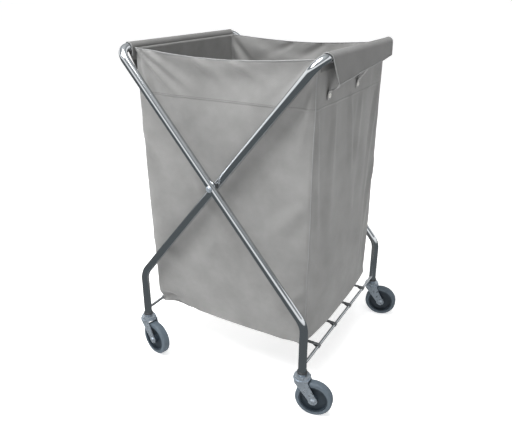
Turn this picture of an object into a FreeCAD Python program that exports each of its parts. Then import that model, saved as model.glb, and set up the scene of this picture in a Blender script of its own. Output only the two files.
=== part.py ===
"""Folding linen trolley: two crossed tube frames on four castors, with a hanging bag.

Millimetres. +Z is up, +X runs from the outer frame's rail to the inner frame's rail,
+Y runs to the back. The origin is on the floor, midway between the two rails.
"""
import FreeCAD, Part
import math
import os
import re
import Sketcher
from FreeCAD import Placement, Rotation, Vector

DIMENSIONS = [
    # the two crossed frames, bent from round tube
    ("rail_height", 900.0, "axis of both top rails above the floor"),
    ("rail_spacing", 530.0, "between the axes of the two top rails"),
    ("foot_spacing", 528.0, "between the upright lower ends of the two frames"),
    ("frame_depth", 560.0, "between the front and back legs of the outer frame"),
    ("tube_diameter", 22.0, "frame tube"),
    ("tube_wall", 1.5, "wall of the frame tube"),
    ("frame_gap", 3.0, "between the crossing tubes, filled by a spacer"),
    ("corner_bend", 35.0, "centre-line radius between a leg and its rail"),
    ("knee_bend", 60.0, "centre-line radius between the slope and the upright end"),
    ("knee_height", 262.0, "where the sloping leg turns upright"),
    ("rod_diameter", 8.0, "stretcher rod between the feet of a frame"),
    ("rod_rise", 13.2, "axis of the stretcher rods above the tubes' ends"),
    # the scissor pivot
    ("bolt_diameter", 8.0, "pivot bolt"),
    ("bolt_head_diameter", 17.0, "domed head of the pivot bolt"),
    ("bolt_head_height", 4.5, "height of the dome"),
    ("dome_crown", 0.3, "radius of a domed head's flat crown, as a share of its diameter"),
    ("dome_edge", 0.35, "straight edge of a domed head, as a share of its height"),
    ("spacer_diameter", 20.0, "plastic spacer between the crossing tubes"),
    ("pivot_nut_width", 13.0, "across the flats"),
    ("pivot_nut_height", 6.0, "thin lock nut on the pivot bolt"),
    # clearances
    ("running_fit", 0.1, "radial, between a pin and what turns on it"),
    ("free_gap", 0.3, "between pieces that move past each other"),
    # castors
    ("wheel_diameter", 100.0, "over the tyre"),
    ("tyre_width", 24.0, "tread"),
    ("tyre_thickness", 11.0, "from rim to tread"),
    ("tread_round", 6.0, "rounding of the tyre's shoulders"),
    ("rim_thickness", 4.0, "plastic rim under the tyre"),
    ("rim_inset", 1.0, "rim narrower than the tyre at each side"),
    ("web_thickness", 8.0, "disc between the rim and the hub"),
    ("hub_diameter", 26.0, "hub of the wheel"),
    ("hub_length", 28.0, "hub along the axle"),
    ("hub_side_gap", 1.0, "between the hub and each fork leg"),
    ("castor_trail", 34.0, "from the swivel axis to the axle"),
    ("wheel_top_gap", 5.0, "between the tyre and the fork's crown"),
    ("fork_sheet", 2.5, "pressed steel of the fork"),
    ("crown_diameter", 46.0, "round crown of the fork"),
    ("fork_back_reach", 17.0, "fork leg behind the swivel axis"),
    ("fork_front_reach", 20.0, "fork leg ahead of the swivel axis"),
    ("fork_shoulder", 9.0, "upright edge of the fork leg under the crown"),
    ("axle_boss_diameter", 25.0, "rounded lower ends of the fork legs"),
    ("axle_diameter", 8.0, "axle bolt"),
    ("axle_head_diameter", 14.0, "button head of the axle bolt"),
    ("axle_head_height", 3.5, "button head of the axle bolt"),
    ("axle_nut_width", 13.0, "across the flats"),
    ("axle_nut_height", 5.0, "nut of the axle bolt"),
    ("kingpin_diameter", 9.0, "rivet that the fork turns on"),
    ("kingpin_head_diameter", 17.0, "closed head under the crown"),
    ("kingpin_head_height", 3.0, "closed head under the crown"),
    ("ball_diameter", 4.0, "balls of the swivel race"),
    ("ball_circle", 30.0, "pitch circle of the balls"),
    ("ball_count", 16, "balls in each race"),
    ("race_diameter", 42.0, "cup over the balls"),
    ("race_sheet", 2.0, "pressed steel of the cup"),
    ("collar_diameter", 19.0, "shoulder of the stem"),
    ("collar_height", 7.0, "shoulder of the stem"),
    ("stem_diameter", 11.0, "stem inside the leg"),
    ("stem_length", 52.0, "stem above its shoulder"),
    ("bush_flange_diameter", 27.0, "plastic bush against the tube's end"),
    ("bush_flange_height", 5.0, "plastic bush against the tube's end"),
    ("bush_length", 58.0, "plastic bush inside the tube"),
    ("front_right_turn", 10.0, "rest direction of each castor, in degrees from +X"),
    ("rear_right_turn", 12.0, "rest direction"),
    ("front_left_turn", -14.0, "rest direction"),
    ("rear_left_turn", 4.0, "rest direction"),
    # fabric bag
    ("fabric", 1.5, "thickness of the bag's fabric with its seams"),
    ("bag_frame_gap", 2.7, "between the bag and the pivot nuts"),
    ("bag_front_drop", 15.0, "top hem of front and back below the rails' axes"),
    ("bag_side_drop", 20.0, "top of the side walls below the rails' axes"),
    ("bag_strap_gap", 4.0, "between the base straps and the bag's floor"),
    ("rail_fabric_gap", 1.0, "between a rail and the flap round it"),
    ("flap_end_gap", 2.0, "between the flap's end and the bend of the rail"),
    ("flap_front_drop", 60.0, "front tip of the flap below the rail's axis"),
    ("flap_rear_drop", 34.0, "rear end of the flap below the rail's axis"),
    ("flap_front_sweep", 42.0, "slope of the flap's front edge"),
    ("tab_width", 18.0, "short strap that ties the flap to the bag"),
    ("tab_thickness", 1.2, "webbing of the short strap"),
    ("tab_drop", 96.0, "lower end of the strap below the rail's axis"),
    ("tab_lap", 26.0, "strap flat against the bag's side"),
    ("tab_rise", 26.0, "from the flat part up to the flap"),
    ("tab_hem", 12.0, "strap sewn inside the flap"),
    ("front_tab_inset", 52.0, "front strap behind the flap's front end"),
    ("middle_tab_place", 20.0, "second strap along the rail"),
    ("stud_diameter", 12.0, "press stud"),
    ("stud_height", 2.5, "press stud"),
    ("stud_rise", 10.0, "press stud above the strap's lower end"),
    # webbing under the bag
    ("strap_width", 10.0, "webbing round both stretcher rods"),
    ("strap_thickness", 1.5, "webbing round both stretcher rods"),
    ("strap_pitch", 118.0, "between neighbouring straps"),
    ("strap_count", 4, "straps under the bag"),
]

doc = FreeCAD.newDocument("LinenTrolley")
sheet = doc.addObject("Spreadsheet::Sheet", "Sizes")
for row, (alias, amount, meaning) in enumerate(DIMENSIONS, start=1):
    sheet.set(f"A{row}", alias)
    sheet.set(f"B{row}", str(amount))
    sheet.set(f"C{row}", meaning)
    sheet.setAlias(f"B{row}", alias)
doc.recompute()

SIZE_NAMES = {alias for alias, amount, meaning in DIMENSIONS}
parts = {}

# Places worked out from the sheet, written as formulas so that every object follows the cells.
tube_radius = "(tube_diameter / 2)"
bore_radius = f"({tube_radius} - tube_wall)"
rail_x = "(rail_spacing / 2)"
foot_x = "(foot_spacing / 2)"
outer_y = "(frame_depth / 2)"
inner_y = f"({outer_y} - tube_diameter - frame_gap)"
pivot_height = f"(rail_height - (rail_height - knee_height) * {rail_x} / ({rail_x} + {foot_x}))"

crown_bottom = "(wheel_diameter + wheel_top_gap)"
crown_top = f"({crown_bottom} + fork_sheet)"
race_bottom = f"({crown_top} + ball_diameter + free_gap)"
race_top = f"({race_bottom} + race_sheet)"
collar_top = f"({race_top} + collar_height)"
leg_end = f"({collar_top} + bush_flange_height)"
fork_inside = "(hub_length / 2 + hub_side_gap)"
fork_outside = f"({fork_inside} + fork_sheet)"
rim_radius = "(wheel_diameter / 2 - tyre_thickness)"
rod_height = f"({leg_end} + rod_rise)"

pivot_nut_inner = f"({inner_y} - {tube_radius} - free_gap - pivot_nut_height)"
bag_y = f"({pivot_nut_inner} - bag_frame_gap)"
flap_inner = f"({tube_radius} + rail_fabric_gap)"
flap_outer = f"({flap_inner} + fabric)"
flap_half = f"({inner_y} - corner_bend - flap_end_gap)"
side_x = f"({rail_x} - {flap_inner})"
strap_top = f"({rod_height} + rod_diameter / 2 + free_gap + strap_thickness)"
floor_bottom = f"({strap_top} + bag_strap_gap)"
side_top = "(rail_height - bag_side_drop)"


def linked(formula):
    """Turn each size's name in a formula into a reference to its cell."""
    return re.sub(
        r"[a-z][a-z_]+",
        lambda word: f"<<Sizes>>.{word.group()}" if word.group() in SIZE_NAMES else word.group(),
        str(formula),
    )


def number(formula):
    """The present value of a formula."""
    return float(sheet.evalExpression(linked(formula)))


def bind(item, **formulas):
    """Bind properties of an object to formulas."""
    for prop, formula in formulas.items():
        item.setExpression(prop, linked(formula))
    return item


any_turn = 45  # a first angle other than 0, so that a placement keeps its axis


def place(item, x="0", y="0", z="0", turn=None, about=Vector(0, 0, 1)):
    """Bind an object's position, and a turn in degrees about an axis."""
    if turn is not None:
        item.Placement = Placement(Vector(), Rotation(about, any_turn))
        item.setExpression("Placement.Rotation.Angle", f"({linked(turn)}) * 1 deg")
    for axis, formula in zip("xyz", (x, y, z)):
        item.setExpression(f"Placement.Base.{axis}", linked(formula))
    return item


def sub_part(label, item):
    """Register a finished object as one sub-part of the trolley."""
    item.Label = label
    parts[label] = item
    return item


def box(name, x, y, z):
    """A box between two planes along each axis, each pair given as formulas."""
    item = doc.addObject("Part::Box", name)
    length, width, height = (f"({high}) - ({low})" for low, high in (x, y, z))
    bind(item, Length=length, Width=width, Height=height)
    return place(item, x[0], y[0], z[0])


def cylinder(name, radius, length, x="0", y="0", z="0", about=Vector(0, 0, 1), turn=None):
    """A cylinder from its base point, along Z unless it is turned."""
    item = doc.addObject("Part::Cylinder", name)
    bind(item, Radius=radius, Height=length)
    return place(item, x, y, z, turn, about)


def cylinder_along_y(name, radius, x, y, z):
    """A cylinder along Y between two places."""
    return cylinder(name, radius, f"({y[1]}) - ({y[0]})", x, y[1], z, Vector(1, 0, 0), "90")


def joined(name, items):
    """Several solids as one object, fused where they touch."""
    item = doc.addObject("Part::MultiFuse", name)
    item.Shapes = items
    return item


def cut(name, base, tool):
    """One object with another taken away."""
    item = doc.addObject("Part::Cut", name)
    item.Base = base
    item.Tool = tool
    return item


def group(name, items):
    """Separate solids that share one node."""
    item = doc.addObject("Part::Compound", name)
    item.Links = items
    return item


def new_body(name):
    return doc.addObject("PartDesign::Body", name)


def new_sketch(body, name, plane):
    """An empty sketch on one of the body's own base planes."""
    sketch = body.newObject("Sketcher::SketchObject", name)
    base = next(item for item in body.Origin.OriginFeatures if item.Role == plane)
    sketch.AttachmentSupport = [(base, "")]
    sketch.MapMode = "FlatFace"
    return sketch


def add_outline(body, name, plane, corners):
    """A closed outline of straight lines, each corner held by two formulas."""
    sketch = new_sketch(body, name, plane)
    spots = [Vector(number(across), number(up), 0) for across, up in corners]
    count = len(corners)
    for index in range(count):
        sketch.addGeometry(Part.LineSegment(spots[index], spots[(index + 1) % count]), False)
    for index in range(count):
        sketch.addConstraint(Sketcher.Constraint("Coincident", index, 2, (index + 1) % count, 1))
    for index, corner in enumerate(corners):
        for kind, axis, formula in zip(("DistanceX", "DistanceY"), (-2, -1), corner):
            if formula == "0":
                sketch.addConstraint(Sketcher.Constraint("PointOnObject", index, 1, axis))
                continue
            distance = Sketcher.Constraint(kind, -1, 1, index, 1, number(formula))
            label = f"{kind}{index}"
            sketch.renameConstraint(sketch.addConstraint(distance), label)
            sketch.setExpression(f"Constraints.{label}", linked(formula))
    return sketch


def add_circle(body, name, plane, radius, x="0", y="0"):
    """A circle whose centre and radius are held by formulas."""
    sketch = new_sketch(body, name, plane)
    centre = Vector(number(x), number(y), 0)
    sketch.addGeometry(Part.Circle(centre, Vector(0, 0, 1), number(radius)), False)
    rows = [("Radius", "Radius", radius, (0,))]
    rows += [(kind, kind, formula, (-1, 1, 0, 3)) for kind, formula in (("DistanceX", x), ("DistanceY", y))]
    for kind, label, formula, ends in rows:
        if formula == "0":
            axis = -2 if kind == "DistanceX" else -1
            sketch.addConstraint(Sketcher.Constraint("PointOnObject", 0, 3, axis))
            continue
        held = Sketcher.Constraint(kind, *ends, number(formula))
        sketch.renameConstraint(sketch.addConstraint(held), label)
        sketch.setExpression(f"Constraints.{label}", linked(formula))
    return sketch


def revolve(body, sketch):
    """Turn an outline about its sketch's vertical axis."""
    feature = body.newObject("PartDesign::Revolution", sketch.Name + "Revolution")
    feature.Profile = sketch
    feature.ReferenceAxis = (sketch, ["V_Axis"])
    feature.Angle = 360
    return feature


def pad_both_ways(body, sketch, length):
    """Pad an outline by half the length to each side."""
    feature = body.newObject("PartDesign::Pad", sketch.Name + "Pad")
    feature.Profile = sketch
    feature.SideType = "Symmetric"
    return bind(feature, Length=length)


def pocket_both_ways(body, sketch, length):
    """Cut an outline away by half the length to each side."""
    feature = body.newObject("PartDesign::Pocket", sketch.Name + "Pocket")
    feature.Profile = sketch
    feature.SideType = "Symmetric"
    return bind(feature, Length=length)


def hexagonal_ring(name, width, height, bore):
    """A nut lying on the XY plane: width across the flats, height along Z."""
    blank = doc.addObject("Part::Prism", name + "Blank")
    bind(blank, Circumradius=f"{width} / 2 / cos(30)", Height=height)
    blank.Polygon = 6
    return cut(name, blank, cylinder(name + "Bore", bore, height))


# ---------------------------------------------------------------- frames


def rounded_path(points, radii):
    """Straight runs through the points, with a tangent arc at each inner point."""
    edges = []
    start = points[0]
    for before, corner, after, radius in zip(points, points[1:], points[2:], radii):
        back = (before - corner).normalize()
        ahead = (after - corner).normalize()
        half_angle = back.getAngle(ahead) / 2
        reach = radius / math.tan(half_angle)
        inward = (back + ahead).normalize()
        arc_start = corner + back * reach
        arc_middle = corner + inward * (radius / math.sin(half_angle) - radius)
        arc_end = corner + ahead * reach
        edges.append(Part.LineSegment(start, arc_start).toShape())
        edges.append(Part.Arc(arc_start, arc_middle, arc_end).toShape())
        start = arc_end
    edges.append(Part.LineSegment(start, points[-1]).toShape())
    return Part.Wire(edges)


def frame_tube(label, rail_at, foot_at, leg_y, bolt_hole):
    """One U of tube: up a leg, along the rail and down the other leg."""
    rail, foot, reach = number(rail_at), number(foot_at), number(leg_y)
    knee, top = number("knee_height"), number("rail_height")
    points = [
        Vector(foot, -reach, number(leg_end)),
        Vector(foot, -reach, knee),
        Vector(rail, -reach, top),
        Vector(rail, reach, top),
        Vector(foot, reach, knee),
        Vector(foot, reach, number(leg_end)),
    ]
    knee_radius, corner_radius = number("knee_bend"), number("corner_bend")
    path = doc.addObject("Part::Feature", label + "_path")
    path.Shape = rounded_path(points, [knee_radius, corner_radius, corner_radius, knee_radius])
    edges = [f"Edge{index + 1}" for index in range(len(path.Shape.Edges))]

    def swept(name, radius):
        section = doc.addObject("Part::Circle", name + "_section")
        bind(section, Radius=radius)
        place(section, foot_at, f"-{leg_y}", leg_end)
        sweep = doc.addObject("Part::Sweep", name)
        sweep.Sections = [section]
        sweep.Spine = (path, edges)
        sweep.Solid = True
        return sweep

    tube = cut(label + "_hollow", swept(label + "_outside", tube_radius), swept(label + "_bore", bore_radius))
    hole = cylinder_along_y(label + "_bolt_hole", bolt_hole, "0", ("-frame_depth", "frame_depth"), pivot_height)
    return sub_part(label, cut(label, tube, hole))


def bottom_rod(label, foot_at, leg_y):
    """Stretcher rod, coped at both ends to sit against the round legs."""
    span = (f"-{leg_y}", leg_y)
    rod = cylinder_along_y(label + "_bar", "rod_diameter / 2", foot_at, span, rod_height)
    legs = [
        cylinder(f"{label}_leg{index}", tube_radius, "knee_height", foot_at, y)
        for index, y in enumerate(span)
    ]
    return sub_part(label, cut(label, rod, joined(label + "_legs", legs)))


def pivot(prefix, turn):
    """Bolt, spacer and lock nut of one crossing; drawn at the front, turned for the back."""
    bolt_length = f"({outer_y} + {tube_radius} - {pivot_nut_inner})"
    side = "-1" if turn == "0" else "1"
    bolt = new_body(prefix + "_pivot_bolt")
    outline = [
        ("0", "-bolt_head_height"),
        ("bolt_head_diameter * dome_crown", "-bolt_head_height"),
        ("bolt_head_diameter / 2", "-bolt_head_height * dome_edge"),
        ("bolt_head_diameter / 2", "0"),
        ("bolt_diameter / 2", "0"),
        ("bolt_diameter / 2", bolt_length),
        ("0", bolt_length),
    ]
    revolve(bolt, add_outline(bolt, prefix + "BoltOutline", "XY_Plane", outline))
    place(bolt, "0", f"{side} * ({outer_y} + {tube_radius})", pivot_height, turn)
    sub_part(prefix + "_pivot_bolt", bolt)

    spacer_faces = (f"{outer_y} - {tube_radius} - frame_gap + free_gap", f"{outer_y} - {tube_radius}")
    nut_faces = (pivot_nut_inner, f"{pivot_nut_inner} + pivot_nut_height")
    if side == "-1":
        spacer_faces = tuple(f"-({face})" for face in reversed(spacer_faces))
        nut_faces = tuple(f"-({face})" for face in reversed(nut_faces))
    disc = cylinder_along_y(prefix + "_spacer_disc", "spacer_diameter / 2", "0", spacer_faces, pivot_height)
    hole = cylinder_along_y(prefix + "_spacer_hole", "bolt_diameter / 2", "0", spacer_faces, pivot_height)
    sub_part(prefix + "_pivot_spacer", cut(prefix + "_pivot_spacer", disc, hole))

    nut = hexagonal_ring(prefix + "_pivot_nut", "pivot_nut_width", "pivot_nut_height", "bolt_diameter / 2")
    place(nut, "0", nut_faces[1], pivot_height, "90", Vector(1, 0, 0))
    sub_part(prefix + "_pivot_nut", nut)


frame_tube("outer_frame_tube", f"-{rail_x}", foot_x, outer_y, "bolt_diameter / 2")
frame_tube("inner_frame_tube", rail_x, f"-{foot_x}", inner_y, "bolt_diameter / 2 + running_fit")
bottom_rod("outer_bottom_rod", foot_x, outer_y)
bottom_rod("inner_bottom_rod", f"-{foot_x}", inner_y)
pivot("front", "0")
pivot("rear", "180")


# ---------------------------------------------------------------- castors


def leg_bush(prefix, x, y):
    """Plastic bush driven into the tube, which grips the castor's stem."""
    body = new_body(prefix + "_leg_bush")
    top = f"{leg_end} + bush_length"
    outline = [
        ("stem_diameter / 2", collar_top),
        ("bush_flange_diameter / 2", collar_top),
        ("bush_flange_diameter / 2", leg_end),
        (bore_radius, leg_end),
        (bore_radius, top),
        ("stem_diameter / 2", top),
    ]
    revolve(body, add_outline(body, prefix + "BushOutline", "XZ_Plane", outline))
    sub_part(prefix + "_leg_bush", place(body, x, y))


def castor_stem(prefix, x, y):
    """Stem, shoulder and kingpin in one turned piece, closed over under the crown."""
    body = new_body(prefix + "_castor_stem")
    head_top = f"{crown_bottom} - free_gap"
    stem_top = f"{collar_top} + stem_length"
    outline = [
        ("0", f"{head_top} - kingpin_head_height"),
        ("kingpin_head_diameter / 2", f"{head_top} - kingpin_head_height"),
        ("kingpin_head_diameter / 2", head_top),
        ("kingpin_diameter / 2", head_top),
        ("kingpin_diameter / 2", race_top),
        ("collar_diameter / 2", race_top),
        ("collar_diameter / 2", collar_top),
        ("stem_diameter / 2", collar_top),
        ("stem_diameter / 2", stem_top),
        ("0", stem_top),
    ]
    revolve(body, add_outline(body, prefix + "StemOutline", "XZ_Plane", outline))
    sub_part(prefix + "_castor_stem", place(body, x, y))


def race_cup(prefix, x, y):
    """Pressed cup that covers the balls; its skirt stops just above the crown."""
    body = new_body(prefix + "_race_cup")
    skirt = f"{crown_top} + free_gap"
    outline = [
        ("kingpin_diameter / 2", race_bottom),
        ("race_diameter / 2 - race_sheet", race_bottom),
        ("race_diameter / 2 - race_sheet", skirt),
        ("race_diameter / 2", skirt),
        ("race_diameter / 2", race_top),
        ("kingpin_diameter / 2", race_top),
    ]
    revolve(body, add_outline(body, prefix + "CupOutline", "XZ_Plane", outline))
    sub_part(prefix + "_race_cup", place(body, x, y))


def race_balls(prefix, x, y):
    """Ring of balls that rolls on the crown."""
    balls = []
    for index in range(int(number("ball_count"))):
        ball = doc.addObject("Part::Sphere", f"{prefix}_ball{index}")
        bind(ball, Radius="ball_diameter / 2")
        angle = f"{index} * 360 / ball_count"
        across = f"ball_circle / 2 * cos({angle})"
        along = f"ball_circle / 2 * sin({angle})"
        balls.append(place(ball, across, along, f"{crown_top} + ball_diameter / 2"))
    sub_part(prefix + "_race_balls", place(group(prefix + "_race_balls", balls), x, y))


def castor_fork(prefix, x, y, turn):
    """Pressed fork: round crown on two legs that lean back to the axle."""
    body = new_body(prefix + "_castor_fork")
    axle = ("castor_trail", "wheel_diameter / 2")
    legs = [
        ("-fork_back_reach", crown_top),
        ("-fork_back_reach", f"{crown_top} - fork_shoulder"),
        ("castor_trail - axle_boss_diameter / 2", "wheel_diameter / 2"),
        ("castor_trail + axle_boss_diameter / 2", "wheel_diameter / 2"),
        ("fork_front_reach", f"{crown_top} - fork_shoulder"),
        ("fork_front_reach", crown_top),
    ]
    width = f"2 * {fork_outside}"
    pad_both_ways(body, add_outline(body, prefix + "ForkLegs", "XZ_Plane", legs), width)
    boss = add_circle(body, prefix + "ForkBoss", "XZ_Plane", "axle_boss_diameter / 2", *axle)
    pad_both_ways(body, boss, width)
    crown = [
        ("0", crown_bottom),
        ("crown_diameter / 2", crown_bottom),
        ("crown_diameter / 2", crown_top),
        ("0", crown_top),
    ]
    revolve(body, add_outline(body, prefix + "Crown", "XZ_Plane", crown))
    between = [
        (f"-{fork_inside}", "0"),
        (fork_inside, "0"),
        (fork_inside, crown_bottom),
        (f"-{fork_inside}", crown_bottom),
    ]
    past_all = "4 * (castor_trail + axle_boss_diameter + crown_diameter)"
    pocket_both_ways(body, add_outline(body, prefix + "Between", "YZ_Plane", between), past_all)
    pin_hole = add_circle(body, prefix + "PinHole", "XY_Plane", "kingpin_diameter / 2 + running_fit")
    pocket_both_ways(body, pin_hole, f"4 * {crown_top}")
    axle_hole = add_circle(body, prefix + "AxleHole", "XZ_Plane", "axle_diameter / 2", *axle)
    pocket_both_ways(body, axle_hole, past_all)
    sub_part(prefix + "_castor_fork", place(body, x, y, "0", turn))


def axle_place(item, x, y, turn):
    """Put a piece drawn about the axle where the castor's turn carries the axle."""
    along_x = f"{x} + castor_trail * cos({turn})"
    along_y = f"{y} + castor_trail * sin({turn})"
    return place(item, along_x, along_y, "wheel_diameter / 2", turn)


def axle_bolt(prefix, x, y, turn):
    """Button-headed bolt through both fork legs, and its nut."""
    body = new_body(prefix + "_axle_bolt")
    head_face = f"-{fork_outside} - axle_head_height"
    bolt_end = f"{fork_outside} + axle_nut_height"
    outline = [
        ("0", head_face),
        ("axle_head_diameter * dome_crown", head_face),
        ("axle_head_diameter / 2", f"-{fork_outside} - axle_head_height * dome_edge"),
        ("axle_head_diameter / 2", f"-{fork_outside}"),
        ("axle_diameter / 2", f"-{fork_outside}"),
        ("axle_diameter / 2", bolt_end),
        ("0", bolt_end),
    ]
    revolve(body, add_outline(body, prefix + "AxleOutline", "XY_Plane", outline))
    sub_part(prefix + "_axle_bolt", axle_place(body, x, y, turn))

    nut = hexagonal_ring(prefix + "_nut_blank", "axle_nut_width", "axle_nut_height", "axle_diameter / 2")
    place(nut, "0", bolt_end, "0", "90", Vector(1, 0, 0))
    holder = group(prefix + "_axle_nut", [nut])
    sub_part(prefix + "_axle_nut", axle_place(holder, x, y, turn))


def castor_wheel(prefix, x, y, turn):
    """Hub, web and rim of one moulded wheel."""
    body = new_body(prefix + "_wheel")
    bore = "axle_diameter / 2 + running_fit"
    hub = "hub_diameter / 2"
    hub_half = "hub_length / 2"
    web_half = "web_thickness / 2"
    rim_inside = f"({rim_radius} - rim_thickness)"
    rim_half = "(tyre_width / 2 - rim_inset)"
    one_side = [
        (bore, hub_half),
        (hub, hub_half),
        (hub, web_half),
        (rim_inside, web_half),
        (rim_inside, rim_half),
        (rim_radius, rim_half),
    ]
    other_side = [(radius, f"-{half}") for radius, half in reversed(one_side)]
    revolve(body, add_outline(body, prefix + "WheelOutline", "XY_Plane", one_side + other_side))
    sub_part(prefix + "_wheel", axle_place(body, x, y, turn))


def castor_tyre(prefix, x, y, turn):
    """Rubber tyre with rounded shoulders."""
    body = new_body(prefix + "_tyre")
    tread = "wheel_diameter / 2"
    outline = [
        (rim_radius, "-tyre_width / 2"),
        (tread, "-tyre_width / 2"),
        (tread, "tyre_width / 2"),
        (rim_radius, "tyre_width / 2"),
    ]
    ring = revolve(body, add_outline(body, prefix + "TyreOutline", "XY_Plane", outline))
    doc.recompute()
    shoulders = [
        f"Edge{index}"
        for index, edge in enumerate(ring.Shape.Edges, start=1)
        if isinstance(edge.Curve, Part.Circle) and edge.Curve.Radius > number(rim_radius) + 1
    ]
    rounding = body.newObject("PartDesign::Fillet", prefix + "Shoulders")
    rounding.Base = (ring, shoulders)
    bind(rounding, Radius="tread_round")
    sub_part(prefix + "_tyre", axle_place(body, x, y, turn))


CASTORS = [
    ("front_right", foot_x, f"-{outer_y}", "front_right_turn"),
    ("rear_right", foot_x, outer_y, "rear_right_turn"),
    ("front_left", f"-{foot_x}", f"-{inner_y}", "front_left_turn"),
    ("rear_left", f"-{foot_x}", inner_y, "rear_left_turn"),
]
for castor, stem_x, stem_y, rest_turn in CASTORS:
    leg_bush(castor, stem_x, stem_y)
    castor_stem(castor, stem_x, stem_y)
    race_cup(castor, stem_x, stem_y)
    race_balls(castor, stem_x, stem_y)
    castor_fork(castor, stem_x, stem_y, rest_turn)
    axle_bolt(castor, stem_x, stem_y, rest_turn)
    castor_wheel(castor, stem_x, stem_y, rest_turn)
    castor_tyre(castor, stem_x, stem_y, rest_turn)


# ---------------------------------------------------------------- bag


def bag_panels():
    """Five flat panels; the right one clears the rest, because it moves on its own."""
    inside_y = f"({bag_y} - fabric)"
    hem = "rail_height - bag_front_drop"
    full_x = (f"-{side_x}", side_x)
    upright = (floor_bottom, hem)
    sub_part("bag_front", box("bag_front", full_x, (f"-{bag_y}", f"-{inside_y}"), upright))
    sub_part("bag_rear", box("bag_rear", full_x, (inside_y, bag_y), upright))

    wall = (floor_bottom, side_top)
    left_x = (f"-{side_x}", f"-{side_x} + fabric")
    right_x = (f"{side_x} - fabric", side_x)
    right_y = f"({inside_y} - free_gap)"
    sub_part("bag_left_side", box("bag_left_side", left_x, (f"-{inside_y}", inside_y), wall))
    sub_part("bag_right_side", box("bag_right_side", right_x, (f"-{right_y}", right_y), wall))

    floor_x = (left_x[1], f"{right_x[0]} - free_gap")
    floor_z = (floor_bottom, f"{floor_bottom} + fabric")
    sub_part("bag_floor", box("bag_floor", floor_x, (f"-{inside_y}", inside_y), floor_z))


def rail_flap(label, side, leg_y):
    """Flap up inside a rail, over it and down outside; side is -1 or 1, leg_y its frame's leg."""
    half = f"({leg_y} - corner_bend - flap_end_gap)"
    along = (f"-{half}", half)
    sewn_part = (f"-{flap_half}", flap_half)
    rail = f"{side} * {rail_x}"
    roll = cut(
        label + "_roll",
        cylinder_along_y(label + "_roll_outside", flap_outer, rail, along, "rail_height"),
        cylinder_along_y(label + "_roll_inside", flap_inner, rail, along, "rail_height"),
    )
    upper_half = box(
        label + "_upper_half",
        (f"{rail} - {flap_outer}", f"{rail} + {flap_outer}"),
        along,
        ("rail_height", f"rail_height + {flap_outer}"),
    )
    arch = doc.addObject("Part::Common", label + "_arch")
    arch.Base = roll
    arch.Tool = upper_half

    inner_faces = (f"{side_x} - fabric", side_x) if side == "1" else (f"-{side_x}", f"-{side_x} + fabric")
    inner_part = box(label + "_inner_part", inner_faces, sewn_part, (side_top, "rail_height"))

    outer_part = new_body(label + "_outer_part")
    outline = [
        (f"-{half}", "0"),
        (half, "0"),
        (half, "-flap_rear_drop"),
        (f"-{half} + flap_front_sweep", "-flap_front_drop"),
    ]
    pad_both_ways(outer_part, add_outline(outer_part, label + "Outline", "YZ_Plane", outline), "fabric")
    place(outer_part, f"{rail} + {side} * ({flap_inner} + fabric / 2)", "0", "rail_height")
    sub_part(label, joined(label, [arch, inner_part, outer_part]))


def flap_tabs(name, side):
    """Two short straps from the flap's edge to press studs on the bag's side."""
    wall = side_x
    flap = f"({rail_x} + {flap_inner})"
    low = "(rail_height - tab_drop)"
    bend = f"({low} + tab_lap)"
    rise = f"({bend} + tab_rise)"
    ribbon = [
        (wall, low),
        (f"{wall} + tab_thickness", low),
        (f"{wall} + tab_thickness", bend),
        (flap, rise),
        (flap, f"{rise} + tab_hem"),
        (f"{flap} - tab_thickness", f"{rise} + tab_hem"),
        (f"{flap} - tab_thickness", f"{rise} + tab_thickness"),
        (wall, f"{bend} + tab_thickness"),
    ]
    tabs, studs = [], []
    spots = {"front": f"front_tab_inset - {flap_half}", "middle": "middle_tab_place"}
    for spot, along in spots.items():
        tab = new_body(f"{name}_{spot}_tab")
        outline = [(f"{side} * ({across})", up) for across, up in ribbon]
        pad_both_ways(tab, add_outline(tab, f"{name}_{spot}_ribbon", "XZ_Plane", outline), "tab_width")
        tabs.append(place(tab, "0", along))
        face = f"{side} * ({wall} + tab_thickness)"
        level = f"{low} + stud_rise"
        turn = "90" if side == "1" else "-90"
        stud_size = ("stud_diameter / 2", "stud_height")
        studs.append(
            cylinder(f"{name}_{spot}_stud", *stud_size, face, along, level, Vector(0, 1, 0), turn)
        )
    sub_part(name + "_tabs", group(name + "_tabs", tabs))
    sub_part(name + "_studs", group(name + "_studs", studs))


def base_straps():
    """Endless webbing straps round both stretcher rods, under the bag's floor."""
    straps = []
    inside = "(rod_diameter / 2 + free_gap)"
    outside = f"({inside} + strap_thickness)"
    for index in range(int(number("strap_count"))):
        middle = f"({index} - (strap_count - 1) / 2) * strap_pitch"
        along = (f"{middle} - strap_width / 2", f"{middle} + strap_width / 2")

        def loop(name, radius):
            level = (f"{rod_height} - {radius}", f"{rod_height} + {radius}")
            run = box(name + "_run", (f"-{foot_x}", foot_x), along, level)
            ends = [
                cylinder_along_y(f"{name}_end{end}", radius, x, along, rod_height)
                for end, x in enumerate((f"-{foot_x}", foot_x))
            ]
            return joined(name, [run] + ends)

        name = f"base_strap{index}"
        straps.append(cut(name, loop(name + "_outside", outside), loop(name + "_inside", inside)))
    sub_part("base_straps", group("base_straps", straps))


bag_panels()
rail_flap("left_flap", "-1", outer_y)
rail_flap("right_flap", "1", inner_y)
flap_tabs("left", "-1")
flap_tabs("right", "1")
base_straps()


# ---------------------------------------------------------------- check and export

doc.recompute()
for item in doc.Objects:
    if {"Invalid", "Error"} & set(item.State):
        raise RuntimeError(f"{item.Name} failed: {item.State}")
for label, item in parts.items():
    if item.Shape.isNull() or not item.Shape.isValid() or not item.Shape.Solids:
        raise RuntimeError(f"{label} has no valid solid")

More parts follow.
